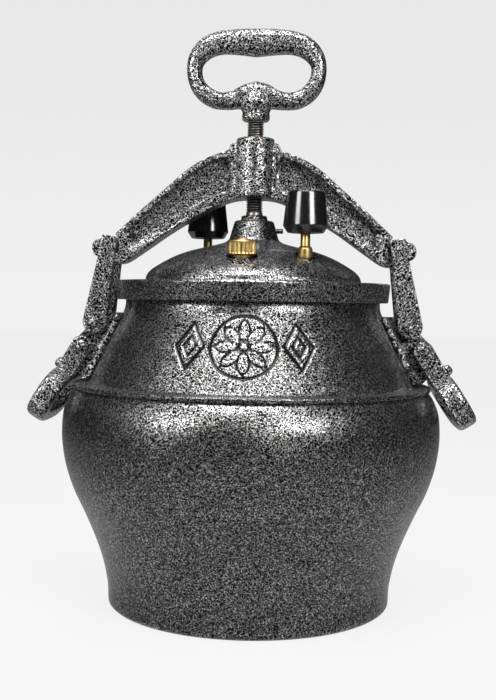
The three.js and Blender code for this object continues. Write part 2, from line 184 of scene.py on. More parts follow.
def joined(shells):
    verts, faces = [], []
    for points, polygons in shells:
        base = len(verts)
        verts += points
        faces += [[i + base for i in face] for face in polygons]
    return verts, faces


# ------------------------------------------------------------------ pieces

def make_mesh(name, shell):
    verts, faces = shell
    mesh = bpy.data.meshes.new(name)
    mesh.from_pydata([Vector(v) * MM for v in verts], [], faces)
    work = bmesh.new()
    work.from_mesh(mesh)
    bmesh.ops.recalc_face_normals(work, faces=work.faces)
    work.to_mesh(mesh)
    work.free()
    return mesh


def add_piece(name, mesh, body, material, nodes, crease=32):
    """Shows the mesh as a piece on its body, in place of the CAD nodes it stands for."""
    item = bpy.data.objects.new(name, mesh)
    bpy.context.scene.collection.objects.link(item)
    mesh.materials.clear()
    mesh.materials.append(material)
    mesh.shade_smooth()
    mesh.set_sharp_from_angle(angle=math.radians(crease))
    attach(item, body)
    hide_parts(*nodes)
    return item


def turned_piece(name, shell, body, material, node, crease=32):
    return add_piece(name, make_mesh(name, shell), body, material, [node], crease)


def fused(name, shells, voxel=CAST_VOXEL, passes=4):
    """Overlapping closed shells melted into one skin with the soft corners of a casting."""
    source = bpy.data.objects.new(name, make_mesh(name, joined(shells)))
    bpy.context.scene.collection.objects.link(source)
    remesh = source.modifiers.new("skin", "REMESH")
    remesh.mode = "VOXEL"
    remesh.voxel_size = voxel * MM
    relax = source.modifiers.new("relax", "SMOOTH")
    relax.factor = 0.5
    relax.iterations = passes
    graph = bpy.context.evaluated_depsgraph_get()
    result = bpy.data.meshes.new_from_object(source.evaluated_get(graph))
    old = source.data
    bpy.data.objects.remove(source)
    bpy.data.meshes.remove(old)
    return result


def flipped(mesh, name):
    """A copy of the mesh mirrored across the YZ plane."""
    copy = mesh.copy()
    copy.name = name
    work = bmesh.new()
    work.from_mesh(copy)
    for vert in work.verts:
        vert.co.x = -vert.co.x
    bmesh.ops.reverse_faces(work, faces=work.faces)
    work.to_mesh(copy)
    work.free()
    return copy


def cast_pair(kind, mesh, material, bodies=("{}_right", "{}_left")):
    """The right-hand piece and its mirror image."""
    for side, image in (("right", mesh), ("left", flipped(mesh, f"{kind}_left"))):
        body = (bodies[0] if side == "right" else bodies[1]).format(kind)
        add_piece(f"{kind}_{side}_cast", image, body, material, [f"{kind}_{side}"], crease=60)


# ------------------------------------------------------------------ materials

class Shader:
    """A small helper for building a node material."""

    def __init__(self, name):
        self.material = bpy.data.materials.new(name)
        self.material.use_nodes = True
        self.tree = self.material.node_tree
        self.surface = self.tree.nodes["Principled BSDF"]
        self.place = self.add("ShaderNodeTexCoord").outputs["Object"]

    def add(self, kind, inputs=None, **settings):
        node = self.tree.nodes.new(kind)
        for key, value in settings.items():
            setattr(node, key, value)
        for key, value in (inputs or {}).items():
            if isinstance(value, bpy.types.NodeSocket):
                self.tree.links.new(value, node.inputs[key])
            else:
                node.inputs[key].default_value = value
        return node

    def set(self, **inputs):
        for key, value in inputs.items():
            socket = self.surface.inputs[key.replace("_", " ")]
            if isinstance(value, bpy.types.NodeSocket):
                self.tree.links.new(value, socket)
            else:
                socket.default_value = value

    def noise(self, scale, detail=2.0, roughness=0.5, distortion=0.0, place=None):
        return self.add("ShaderNodeTexNoise", {
            "Vector": place or self.place, "Scale": scale, "Detail": detail,
            "Roughness": roughness, "Distortion": distortion}).outputs["Fac"]

    def mapped(self, value, low, high, to_low=0.0, to_high=1.0, smooth=True):
        node = self.add("ShaderNodeMapRange", {
            "Value": value, "From Min": low, "From Max": high,
            "To Min": to_low, "To Max": to_high})
        if smooth:
            node.interpolation_type = "SMOOTHSTEP"
        return node.outputs["Result"]

    def math(self, operation, a, b):
        return self.add("ShaderNodeMath", {0: a, 1: b}, operation=operation).outputs[0]

    def mix(self, factor, a, b):
        node = self.add("ShaderNodeMix", data_type="RGBA")
        for socket, value in ((node.inputs[0], factor), (node.inputs[6], a), (node.inputs[7], b)):
            if isinstance(value, bpy.types.NodeSocket):
                self.tree.links.new(value, socket)
            else:
                socket.default_value = value
        return node.outputs[2]

    def bump(self, height, strength, distance):
        return self.add("ShaderNodeBump", {
            "Height": height, "Strength": strength, "Distance": distance}).outputs["Normal"]


def grey(value, warmth=0.0):
    return (value * (1 + warmth), value, value * (1 - warmth), 1)


def hammertone(name, cell, silver, stroke, roughness, relief):
    """Enamel in which silver flake has drawn up into a network round black cells.

    cell is the pattern's size in millimetres, and stroke how wide the silver lines are in it.
    """
    shader = Shader(name)
    network = shader.noise(1 / (cell * MM), detail=1.0, roughness=0.45, distortion=0.35)
    drift = shader.noise(30.0, detail=2.0)
    level = shader.math("ADD", network, shader.mapped(drift, 0.3, 0.7, -0.02, 0.02))
    ridge = shader.math("ABSOLUTE", shader.math("SUBTRACT", level, 0.5), 0.0)
    # Painted shade: the silver is cleared to black enamel where the pot's ornament is cut, darkening its
    # grooves.
    groove_shade = shader.add("ShaderNodeAttribute", attribute_name="groove_shade").outputs["Fac"]
    flake = shader.math("MULTIPLY", shader.mapped(ridge, stroke * 0.75, stroke * 1.25, 1.0, 0.0),
                        shader.mapped(groove_shade, 0.15, 0.75, 1.0, 0.0))
    grain = shader.noise(4.0 / (cell * MM), detail=1.0)
    tone = shader.mix(shader.mapped(grain, 0.3, 0.7), grey(silver * 0.72), grey(silver))
    shader.set(
        Base_Color=shader.mix(flake, grey(0.004), tone),
        Metallic=flake,
        Roughness=shader.mapped(flake, 0, 1, 0.18, roughness, smooth=False),
        Normal=shader.bump(flake, relief, 0.00016),
        Specular_IOR_Level=0.1,
        Coat_Weight=0.08,
        Coat_Roughness=0.12,
    )
    return shader.material


def metal(name, color, dark, roughness, streak=400.0, wear=0.35, root_shade=None):
    """Turned metal: fine rings about the vertical axis, with a little tarnish.

    The last argument is a pair of radii in millimetres: painted shade darkens the metal from the second in
    to the first, at the bottom of a thread.
    """
    shader = Shader(name)
    stretched = shader.add("ShaderNodeMapping", {"Vector": shader.place, "Scale": (0.1, 0.1, 4.0)})
    rings = shader.noise(streak, detail=2.0, place=stretched.outputs["Vector"])
    tarnish = shader.noise(260.0, detail=4.0, roughness=0.6)
    tarnish_and_shade = shader.mapped(tarnish, 0.42, 0.68, 0.0, wear)
    # Painted shade: darker in towards the axis, where a thread's grooves are deepest.
    if root_shade:
        flat = shader.add("ShaderNodeVectorMath", {0: shader.place, 1: (1, 1, 0)}, operation="MULTIPLY")
        reach = shader.add("ShaderNodeVectorMath", {0: flat.outputs[0]}, operation="LENGTH").outputs["Value"]
        tarnish_and_shade = shader.math("MAXIMUM", tarnish_and_shade, shader.mapped(reach, root_shade[0] * MM, root_shade[1] * MM, 1.0, 0.0))
    shader.set(
        Base_Color=shader.mix(tarnish_and_shade, (*color, 1), (*dark, 1)),
        Metallic=1.0,
        Roughness=shader.math(
            "ADD", shader.mapped(rings, 0.3, 0.7, roughness * 0.8, roughness * 1.2),
            shader.mapped(tarnish, 0.4, 0.7, 0.0, 0.15)),
        Normal=shader.bump(rings, 0.25, 0.00005),
    )
    return shader.material


def black_moulding(name):
    """Polished black plastic with faint handling marks."""
    shader = Shader(name)
    smear = shader.noise(90.0, detail=5.0, roughness=0.65)
    dust = shader.noise(1600.0, detail=2.0)
    shader.set(
        Base_Color=shader.mix(shader.mapped(dust, 0.62, 0.75), grey(0.004), grey(0.02)),
        Roughness=shader.mapped(smear, 0.35, 0.7, 0.15, 0.23),
        Normal=shader.bump(smear, 0.06, 0.0003),
        Coat_Weight=0.12,
        Coat_Roughness=0.12,
    )
    return shader.material


def silicone(name):
    shader = Shader(name)
    grain = shader.noise(900.0, detail=3.0)
    shader.set(
        Base_Color=shader.mix(
            shader.mapped(grain, 0.3, 0.7), (0.62, 0.59, 0.52, 1), (0.72, 0.7, 0.63, 1)),
        Roughness=shader.mapped(grain, 0.3, 0.7, 0.45, 0.6),
        Normal=shader.bump(grain, 0.15, 0.0002),
        Specular_IOR_Level=0.4,
    )
    return shader.material


POT_PAINT = hammertone(
    "pot_hammertone", cell=1.4, silver=0.6, stroke=0.025, roughness=0.33, relief=0.18)
CAST_PAINT = hammertone(
    "cast_hammertone", cell=1.65, silver=0.95, stroke=0.025, roughness=0.36, relief=0.7)
BRASS = metal("brass", (0.42, 0.31, 0.12), (0.16, 0.1, 0.035), 0.33)
COPPER = metal("copper", (0.8, 0.36, 0.2), (0.4, 0.14, 0.07), 0.3)
STEEL = metal("turned_steel", (0.6, 0.59, 0.57), (0.2, 0.19, 0.18), 0.28)
OILED = metal("oiled_thread", (0.2, 0.18, 0.17), (0.02, 0.015, 0.012), 0.3, wear=0.5)
# The screw is painted darker towards the bottom of its thread, between radii 5.8 and 5.0 mm: painted shade.
THREAD = metal(
    "oiled_screw", (0.34, 0.31, 0.29), (0.01, 0.008, 0.007), 0.3, wear=0.3, root_shade=(5.0, 5.8))
BLACK = black_moulding("black_moulding")
RUBBER = silicone("gasket_silicone")


# ------------------------------------------------------------------ pot

SHOULDER = [
    (115.3, 157.0), (114.9, 157.6), (107.2, 173.6), (101.6, 185.0), (92.1, 205.0), (90.0, 213.0)]


def shoulder_radius(z):
    for (r1, z1), (r2, z2) in zip(SHOULDER, SHOULDER[1:]):
        if z <= z2:
            return r1 + (r2 - r1) * max(0.0, z - z1) / (z2 - z1)
    return SHOULDER[-1][0]


def pot_outline():
    """From the middle of the underside, up the outside, over the mouth and down the inside."""
    foot = softened([(0, 0), (97.5, 0), (100, 2.2), (100.2, 8)], 3, closed=False)
    low, high = BEAD
    belly = spline([(100.3, 12), (101.2, 19), (104.3, 33), (109.6, 48.5), (117.3, 66.5), (125.1, 83),
                    (130.4, 99), (132.9, 113), (133.5, 125), (132.3, 138), (128.4, 148), (124.6, low)], 64)
    bead = softened([(124.4, low), (126.5, low + 0.5), (126.5, high - 0.5), (116.4, high + 0.1),
                     (114.6, high + 1.2)], 0.8, closed=False, steps=5)
    neck = spline([(114, 159.3), (111.3, 165), (107.2, 173.6), (101.6, 185), (92.1, 205),
                   (90.2, 211), (90, 214)], 104)
    lip = softened([(90, 217), (90, MOUTH_Z), (80, MOUTH_Z), (80, 210)], 1.2, closed=False)
    inside = spline([(80.6, 208), (85.8, 199), (95.2, 181), (108.4, 153), (122.4, 137), (127, 121),
                     (124.6, 104), (107.5, 60), (95.5, 24), (93.4, 14)], 60)
    well = softened([(92, 10.5), (89, 8), (0, 8)], 2.5, closed=False)
    return foot + belly + bead + neck + lip + inside + well


def front_dense_angles():
    """Angles about Z with close spacing at the front, where the ornament is."""
    front, spread, fine = -90.0, 30.0, 220
    near = [front - spread + 2 * spread * i / fine for i in range(fine)]
    far = [front + spread + (360 - 2 * spread) * i / 200 for i in range(200)]
    return [math.radians(a) for a in near + far]


def smoothstep(low, high, value):
    t = min(1.0, max(0.0, (value - low) / (high - low)))
    return t * t * (3 - 2 * t)


def ornament(u, v):
    """Depth, 0 to 1, of a cut ornament: an eight-petal rosette in a ring between two lozenges."""
    def stroke(distance, half):
        return 1 - smoothstep(half - 0.25, half + 0.45, abs(distance))

    reach = math.hypot(u, v)
    marks = [stroke(reach - 21.5, 0.85), stroke(reach - 3.2, 0.6)]
    if 4 < reach < 20:
        turn = (math.atan2(v, u) / (math.pi / 4) + 0.5) % 1 - 0.5
        along = (reach - 11.3) / 6.9
        width = 4.0 * math.sqrt(max(0.0, 1 - along * along))
        marks.append(stroke(abs(turn * math.pi / 4 * reach) - width, 0.65))
    for side in (-1, 1):
        x, y = abs(u - side * 36), abs(v)
        edge = (x / 10 + y / 16 - 1) * 8.5
        marks += [stroke(edge, 0.85), stroke(edge + 4.8, 0.65)]
    return max(marks)


ORNAMENT_Z = 186.5
ORNAMENT_DEPTH = 0.9
ORNAMENT_R = 102.0  # the shoulder's radius at the ornament, which turns angles into widths
SLANT = 1.12  # length along the shoulder for each millimetre of height


def make_pot():
    verts, faces = lathe(pot_outline(), front_dense_angles())
    cut, groove_shade = [], []
    for x, y, z in verts:
        r = math.hypot(x, y)
        outside = 159 < z < 213 and r > shoulder_radius(z) - 3 and y < -60
        across, along = math.atan2(x, -y) * ORNAMENT_R, (z - ORNAMENT_Z) * SLANT
        depth = ornament(across, along) if outside else 0.0
        scale = 1 - ORNAMENT_DEPTH * depth / r if depth else 1.0
        cut.append((x * scale, y * scale, z))
        groove_shade.append(depth)
    mesh = make_mesh("pot_casting", (cut, faces))
    # Each point's cut depth is kept on the mesh, and the paint turns black by it: painted shade in the
    # grooves.
    mesh.attributes.new("groove_shade", "FLOAT", "POINT").data.foreach_set("value", groove_shade)
    add_piece("pot_casting", mesh, "pot", POT_PAINT, ["pot_body"])


make_pot()


# ------------------------------------------------------------------ lugs, rivets and pins

PAD = dict(inner=0.5, outer=4.6, half=24.0, low=159.0, high=205.4)
RIVETS = [(104.9, 178.3), (112.0, 163.5)]  # [r, z] on the pot's skin
RIVET_TURN = 10.5
SHOULDER_LEAN = math.atan2(101.6 - 107.2, 185 - 173.6)


def lug_pad():
    loops = []
    rows = 26
    for i in range(rows + 1):
        z = PAD["low"] + (PAD["high"] - PAD["low"]) * i / rows
        loop = []
        for offset, ends in ((PAD["outer"], (-1, 1)), (PAD["inner"], (1, -1))):
            r = shoulder_radius(z) + offset
            edge = math.asin(PAD["half"] / r)
            for k in range(17):
                a = edge * (ends[0] + (ends[1] - ends[0]) * k / 16)
                loop.append((r * math.cos(a), r * math.sin(a), z))
        loops.append(loop)
    return loft(loops)


def make_lug():
    back = [(shoulder_radius(z) + 1.0, z) for z in (205.4, 195, 185, 173.6, 165, 159)]
    rib = ([(92.9, 205.4), (114, 205.4)]
           + arc(*LINK_PIN, 7.3, 62, -32, 8) + arc(*HANDLE_PIN, 7, 40, -26, 7)
           + softened([(126, 170), (125, 164), (120.5, 159), (117.4, 159)], 2.5, closed=False)
           + back[::-1][1:-1])
    return fused("lug", [lug_pad(), prism(rib, -RIB_HALF, RIB_HALF)])


def make_rivet(row, side):
    """A domed head standing on the pad, with its clenched end inside the pot."""
    angle = math.radians(RIVET_TURN * side)
    r, z = row
    lean = SHOULDER_LEAN
    out = Vector((math.cos(lean) * math.cos(angle), math.cos(lean) * math.sin(angle), -math.sin(lean)))
    outer = PAD["outer"] * math.cos(lean) - 0.1
    inner = -(8 * math.cos(lean) + 0.75)
    head = [(4.3, outer), (4.25, outer + 0.5)] + [
        (4.2 * math.cos(a), outer + 0.5 + 1.7 * math.sin(a)) for a in
        (math.radians(15 * k) for k in range(1, 6))] + [(0, outer + 2.2)]
    clench = [(0, inner - 1.4), (2.4, inner - 1.3), (3.4, inner - 0.8), (3.9, inner), (2.5, inner)]
    place = Matrix.Translation((r * math.cos(angle), r * math.sin(angle), z)) @ \
        out.to_track_quat("Z", "Y").to_matrix().to_4x4()
    return moved(lathe(clench + [(2.5, outer)] + head, 28), place)


def make_pin(x, z):
    end = LEG_OUTER + 0.25
    dome = [(4 * math.cos(a), end + 0.5 + 1.5 * math.sin(a)) for a in
            (math.radians(15 * k) for k in range(1, 6))] + [(0, end + 2)]
    half = [(3, end), (4, end), (4, end + 0.5), *dome]
    return rod([(r, -y) for r, y in reversed(half)] + half, x, z)


cast_pair("lug", make_lug(), CAST_PAINT, bodies=("pot", "pot"))
for number, (row, side) in enumerate([(row, side) for row in RIVETS for side in (-1, 1)], 1):
    cast_pair(f"lug_rivet_{number}", make_mesh("rivet", make_rivet(row, side)), CAST_PAINT, ("pot", "pot"))
cast_pair("link_pin", make_mesh("pin", make_pin(*LINK_PIN)), CAST_PAINT, ("pot", "pot"))
cast_pair("handle_pin", make_mesh("pin", make_pin(*HANDLE_PIN)), CAST_PAINT, ("pot", "pot"))


# ------------------------------------------------------------------ links

def make_link():
    lean = math.degrees(math.atan2(LINK_PIN[0] - HOOK[0], HOOK[1] - LINK_PIN[1]))
    across = Vector((math.cos(math.radians(lean)), math.sin(math.radians(lean))))
    along = Vector((-across.y, across.x))
    top = Vector(HOOK)
    corners = [top + across * 5.5 - along * 8, top + across * 5.4 + along * 5.2,
               top - across * 5.4 + along * 5.2, top - across * 5.6 - along * 8]
    leg = arc(*LINK_PIN, 8.5, 180 + lean, 360 + lean, 14) + softened(
        [tuple(c) for c in corners], 1.8, closed=False)
    legs = [prism(leg, -LEG_OUTER, -LEG_INNER), prism(leg, LEG_INNER, LEG_OUTER)]
    bar = rod([(0, -LEG_OUTER + 1), (5, -LEG_OUTER + 1), (5, LEG_OUTER - 1), (0, LEG_OUTER - 1)], *HOOK)
    nub = [(HOOK[0] + 7.4 + 5.4 * math.cos(a), HOOK[1] - 3.4 + 6.5 * math.sin(a))
           for a in (2 * math.pi * k / 24 for k in range(24))]
    web = [(HOOK[0], HOOK[1] - 3.5), (HOOK[0] + 7, HOOK[1] - 8), (HOOK[0] + 8, HOOK[1] + 2.8),
           (HOOK[0] + 4, HOOK[1] + 4.6), (HOOK[0], HOOK[1] + 4.8)]
    return fused("link", [*legs, bar, prism(nub, -12.3, 12.3), prism(web, -12, 12)])


cast_pair("link", make_link(), CAST_PAINT)


# ------------------------------------------------------------------ rings with a rounded section

def ring_shell(outer, inner, depth, squareness=2.6, around=24):
    """A closed ring in XZ: at each place, a rounded section from the inner to the outer curve."""
    loops = []
    for o, i in zip(outer, inner):
        o, i = Vector(o), Vector(i)
        middle, half = (o + i) / 2, (o - i) / 2
        loop = []
        for k in range(around):
            a = 2 * math.pi * k / around
            c, s = math.cos(a), math.sin(a)
            c = math.copysign(abs(c) ** (2 / squareness), c)
            s = math.copysign(abs(s) ** (2 / squareness), s)
            place = middle + half * c
            loop.append((place.x, depth / 2 * s, place.y))
        loops.append(loop)
    return loft(loops, closed=True)


def both_halves(points):
    """A right-hand run from top to bottom, closed with its mirror image."""
    return points + [(-x, z) for x, z in points[-2:0:-1]]


def make_side_handle():
    outer = both_halves(spline([(0, -21.5), (12, -21.7), (24, -23), (33.5, -29.5), (37, -41.5),
                                (33, -54), (22, -60), (10, -61.4), (0, -61.5)], 40))
    inner = both_halves(spline([(0, -32.4), (10, -32.4), (18, -33), (24.2, -36), (26.2, -41.8),
                                (24, -47), (16.5, -49.8), (8, -50.4), (0, -50.5)], 40))
    ring = moved(ring_shell(outer, inner, 14.6, 4.0), Matrix.Rotation(math.radians(90), 4, "Z"))
    arm = arc(0, 0, 7, 0, 180, 12) + [(-6.4, -24), (-6, -28), (6, -28), (6.4, -24)]
    arms = [prism(arm, -LEG_OUTER, -LEG_INNER), prism(arm, LEG_INNER, LEG_OUTER)]
    nub_turn = Matrix.Translation((3.5, 0, -22.5)) @ Matrix.Rotation(math.radians(76), 4, "Y")
    nub = moved(lathe([(0, 0), (4.6, 0), (4.2, 3), (4.1, 6), (3.2, 7.8), (1.6, 8.6), (0, 8.8)], 24),
                nub_turn)
    place = Matrix.Translation((HANDLE_PIN[0], 0, HANDLE_PIN[1])) @ \
        Matrix.Rotation(math.radians(-HANDLE_TILT), 4, "Y")
    return fused("side_handle", [moved(shell, place) for shell in (ring, *arms, nub)])


cast_pair("side_handle", make_side_handle(), CAST_PAINT)


def make_grip():
    outer = both_halves(spline([
        (0, 407), (14, 406.6), (28, 404.8), (39.5, 399.5), (47, 390), (49.3, 379),
        (47.3, 367), (41, 357.5), (31, 351.5), (20, 350.4), (11, 351), (0, 351)], 60))
    inner = both_halves(spline([
        (0, 387.4), (12, 388.8), (23, 389.3), (31, 387.4), (36.8, 383), (38.6, 378),
        (36.8, 370.6), (31, 364.8), (24, 362.4), (16.5, 363.6), (9, 368), (0, 370.4)], 60))
    collar = lathe([(0, 342), (8.3, 342), (9.7, 343), (9.9, 346), (9.4, 348), (11, 351.5), (12, 355),
                    (9, 362), (0, 364)], 40)
    return fused("grip", [ring_shell(outer, inner, 17), collar], passes=5)


add_piece("top_grip_cast", make_grip(), "screw", CAST_PAINT, ["top_grip"], crease=60)


# ------------------------------------------------------------------ yoke

def yoke_half_width(x):
    """Half the flanges' width along Y, narrowing to pass between a link's legs."""
    return 13 - 2.1 * smoothstep(58, 88, abs(x))


def make_yoke():
    reach = math.hypot(LINK_PIN[0] - HOOK[0], HOOK[1] - LINK_PIN[1]) - 5 - 0.55
    saddle = [(x, LINK_PIN[1] + math.sqrt(reach ** 2 - (LINK_PIN[0] - x) ** 2))
              for x in (107, 104.5, 102, 99.5, 97, 95.6)]
    under = spline([(0, 287.5), (8, 287.3), (19.6, 284.8), (36, 276.8), (58, 264), (76.5, 250.9),
                    (89.5, 242), (95.7, 240.3), (100, 240.9)], 40)
    over = spline([(14, 317.4), (29.2, 312.2), (42.9, 304.5), (57.7, 291.8), (77, 275), (95.1, 258)], 40)

    def strip(path, depth):
        """A band along the path, standing to its left, as an XZ outline."""
        inner = []
        for i, (x, z) in enumerate(path):
            a, b = path[max(0, i - 1)], path[min(len(path) - 1, i + 1)]
            along = (Vector(b) - Vector(a)).normalized()
            inner.append((x - along.y * depth, z + along.x * depth))
        return path + inner[::-1]

    lower = prism(strip(under, 6.5), -1, 1, yoke_half_width)
    upper = prism(strip(over[::-1], -4.2), -1, 1, yoke_half_width)
    web = prism(under + [(94, 247)] + over[::-1] + [(0, 318)], -5, 5)
    ear = prism(softened([(0, 290), (15, 288), (15.5, 308), (18.3, 314), (18.3, 321.8), (16.4, 325.4),
                          (0, 326)], 2), -12.4, 12.4)
    nose = softened([(86, 246), (95.7, 240.3), (102, 241.6), (106.4, 245), (107.3, 248)] + saddle
                    + [(95.3, 257.8), (86, 264)], 1.0)
    end = prism(nose, -10.9, 10.9)
    half = [lower, upper, web, ear, end]
    column = lathe(softened([(0, 287.6), (14.4, 287.6), (14.7, 300), (14.6, 326.1), (0, 326.1)], 1.5,
                            closed=False), 48)
    boss = [shifted(column, y=side * 5.4) for side in (-1, 1)]
    core = prism([(-14.5, 287.8), (14.5, 287.8), (14.5, 325.9), (-14.5, 325.9)], -5.4, 5.4)
    return fused("yoke", half + [mirrored(shell) for shell in half] + boss + [core])


add_piece("yoke_cast", make_yoke(), "yoke", CAST_PAINT, ["yoke"], crease=60)
bush = softened([(6.2, 288), (9.9, 288), (9.9, 325.9), (13.4, 326.4), (13.4, 329.2), (12.2, 330.2),
                 (6.9, 330.2), (6.2, 329.4)], 0.6)
turned_piece("bush", lathe(bush, 72), "yoke", CAST_PAINT, "yoke_bush")


# ------------------------------------------------------------------ spindle

def make_spindle():
    """The screw, with a true right-hand helical thread above its plain grooved foot."""
    around, step = 48, 0.22
    start, end = 277.0, 358.5
    depth = 1.05
    loops = []
    foot = softened([(5.3, 261.1), (5.9, 261.8), (5.9, 263), (4.4, 263), (4.4, 267), (5.9, 267),
                     (5.95, 276)], 0.2, closed=False, steps=2)
    for r, z in foot:
        loops.append([(r * math.cos(a), r * math.sin(a), z)
                      for a in (2 * math.pi * k / around for k in range(around))])
    count = int((end - start) / step)
    for i in range(count + 1):
        z = start + (end - start) * i / count
        fade = smoothstep(0, 2, z - start) * smoothstep(0, 1.5, end - z)
        loop = []
        for k in range(around):
            turn = k / around
            phase = (z / THREAD_PITCH - turn) % 1.0
            tooth = min(1.0, max(0.0, abs(phase - 0.5) * 2.6 - 0.15))
            r = THREAD_R - 0.05 - depth * tooth * fade
            loop.append((r * math.cos(2 * math.pi * turn), r * math.sin(2 * math.pi * turn), z))
        loops.append(loop)
    loops.append([(x * 0.85, y * 0.85, end + 0.9) for x, y, z in loops[-1]])
    return loft(loops)


turned_piece("spindle_thread", make_spindle(), "screw", THREAD, "spindle", crease=50)
pin_outline = softened([(0, -9.5), (1.5, -9.5), (1.5, 9.5), (0, 9.5)], 0.3, closed=False)
GRIP_PIN_Z, SIDE_SCREW_Z = 347, 265


def along_x(z):
    """Lays a piece turned about Z along X, at a height."""
    return Matrix.Translation((0, 0, z)) @ Matrix.Rotation(math.pi / 2, 4, "Y")


cross = moved(lathe(pin_outline, 20), along_x(GRIP_PIN_Z))
turned_piece("grip_cross_pin", cross, "screw", STEEL, "grip_pin")


# ------------------------------------------------------------------ lid

VALVES = {"front": (36.8, -42.1), "rear": (-36.8, 42.1)}
SAFETY = (-4.5, -58.0)


def lid_outline():
    under = [(0, 250.5), (16, 250), *spline([(24, 248.6), (48, 243), (64, 235.5), (71, 229)], 20)]
    seat = softened([(75, 223), (92, 223), (92, 215.2), (93, 215), (95.4, 215), (95.8, 215.6),
                     (97.1, 227.2), (96.4, 228.4), (93, 228.5), (77.4, 228.5), (76.5, 229.2), (76.2, 231)],
                    0.7, closed=False, steps=3)
    dome = spline([(75.6, 232.6), (73.8, 235), (69.8, 238.3), (58.5, 244.8), (47.5, 249.3), (36.5, 252.3),
                   (25.5, 255), (20.5, 256.6), (17.9, 258.6), (16.9, 261)], 60)
    hub = softened([(16.6, 262), (14, 271), (12.8, 272), (9.6, 272), (8.9, 275.5), (6.3, 275.6),
                    (6.3, 259), (0, 259)], 0.8, closed=False, steps=3)
    return under + seat + dome + hub


def cutter(radius, x, y, low, high):
    tool = bpy.data.objects.new("cutter", make_mesh("cutter", shifted(
        lathe([(0, low), (radius, low), (radius, high), (0, high)], 48), x, y)))
    bpy.context.scene.collection.objects.link(tool)
    return tool


def make_lid():
    lid = bpy.data.objects.new("lid", make_mesh("lid", lathe(lid_outline(), 200)))
    bpy.context.scene.collection.objects.link(lid)
    tools = []
    steps = []
    for x, y in VALVES.values():
        steps += [("UNION", 9, x, y, 234, 243.4), ("DIFFERENCE", 6.8, x, y, 244, 256),
                  ("DIFFERENCE", 4, x, y, 220, 246)]
    steps += [("UNION", 10, *SAFETY, 234, 242.9), ("DIFFERENCE", 10.5, *SAFETY, 243.5, 256),
              ("DIFFERENCE", 5, *SAFETY, 220, 246)]
    for operation, radius, x, y, low, high in steps:
        tool = cutter(radius, x, y, low, high)
        cut = lid.modifiers.new("cut", "BOOLEAN")
        cut.operation, cut.object, cut.solver = operation, tool, "EXACT"
        tools.append(tool)
    graph = bpy.context.evaluated_depsgraph_get()
    mesh = bpy.data.meshes.new_from_object(lid.evaluated_get(graph))
    for item in [lid, *tools]:
        bpy.data.objects.remove(item)
    return mesh


add_piece("lid_casting", make_lid(), "lid", POT_PAINT, ["lid"])
gasket = softened([(79.6, 219.3), (89.9, 219.3), (89.9, 222.7), (79.6, 222.7)], 0.9)
turned_piece("gasket_ring", lathe(gasket, 160), "lid", RUBBER, "gasket")
button = softened([(0, 259.3), (5.8, 259.3), (5.8, 260.8), (0, 260.8)], 0.4, closed=False)
turned_piece("thrust_button", lathe(button, 48), "lid", BRASS, "thrust_disc")
screw_outline = softened([(0, 4.9), (1.75, 4.9), (1.75, 20.6), (0, 20.6)], 0.45, closed=False)
side_screw = moved(lathe(screw_outline, 24), along_x(SIDE_SCREW_Z))
turned_piece("side_screw", side_screw, "lid", OILED, "retention_screw")


# ------------------------------------------------------------------ valves and burst plug

def hex_nut(across, low, high, bore, x, y):
    """A six-sided nut with chamfered corners, bored through."""
    corner = across / math.sqrt(3)
    sides = []
    for a in evenly(96):
        sector = (a + math.pi / 6) % (math.pi / 3) - math.pi / 6
        sides.append((a, across / 2 / math.cos(sector)))
    loops = []
    for z, trim in ((low, 0.94), (low + 0.5, 1.0), (high - 0.5, 1.0), (high, 0.94)):
        loops.append([(min(r, corner * trim) * math.cos(a), min(r, corner * trim) * math.sin(a), z)
                      for a, r in sides])
    for z in (high, low):
        loops.append([(bore * math.cos(a), bore * math.sin(a), z) for a, _ in sides])
    return shifted(loft(loops, closed=True), x, y)


def knurled(outline, teeth, depth, low, high):
    """A turned outline whose skin has upright ridges between two heights."""
    around = teeth * 8
    loops = []
    for r, z, ridged in outline:
        loop = []
        for k in range(around):
            a = 2 * math.pi * k / around
            wave = 0.5 - 0.5 * math.cos(teeth * a)
            ends = smoothstep(low, low + 0.7, z) * (1 - smoothstep(high - 0.7, high, z))
            cut = depth * wave ** 0.6 * ends
            radius = r - cut if ridged else r
            loop.append((radius * math.cos(a), radius * math.sin(a), z))
        loops.append(loop)
    return loft(loops, closed=True)


def plumbing(name, outline, body, material, node, place):
    """A small turned piece at a place on the lid."""
    turned_piece(name, shifted(lathe(outline, 48), *place), body, material, node)


STEM = softened([(1.4, 224.6), (3.6, 224.6), (3.6, 244.3), (5, 244.3), (5, 250.4), (4.2, 252.2),
                 (3.25, 252.6), (3.25, 270.8), (2.2, 272.3), (1.4, 272.3)], 0.5)
VALVE_WASHER = softened([(4.1, 232.2), (7.4, 232.2), (7.4, 233.7), (4.1, 233.7)], 0.3)
WEIGHT_CORE = [(0, 274.4), (3.6, 272.8), (3.6, 262.3), (3.9, 262), (5.5, 262), (5.8, 262.3),
               (5.8, 283), (5.5, 283.3), (0, 283.3)]
WEIGHT_CAP = [(0, 283.6), (6.1, 283.6), (6.1, 261.9)] + softened(
    [(6.4, 261.5), (12.2, 261.5), (15.25, 266.2), (12.75, 288.2), (12, 289), (11.2, 289.1),
     (10.6, 288.7), (0, 288.9)], 0.6, closed=False, steps=4)

for which, place in VALVES.items():
    weight = f"{which}_weight"
    plumbing(f"{which}_stem", STEM, "lid", BRASS, f"{which}_valve_stem", place)
    plumbing(f"{which}_washer", VALVE_WASHER, "lid", COPPER, f"{which}_valve_washer", place)
    turned_piece(f"{which}_nut", hex_nut(12, 226.9, 231.9, 4.0, *place), "lid", BRASS,
                 f"{which}_valve_nut")
    plumbing(f"{which}_core", WEIGHT_CORE, weight, BRASS, f"{which}_weight_core", place)
    turned_piece(f"{which}_cap", shifted(lathe(WEIGHT_CAP, 96), *place), weight, BLACK,
                 f"{which}_weight_cap")

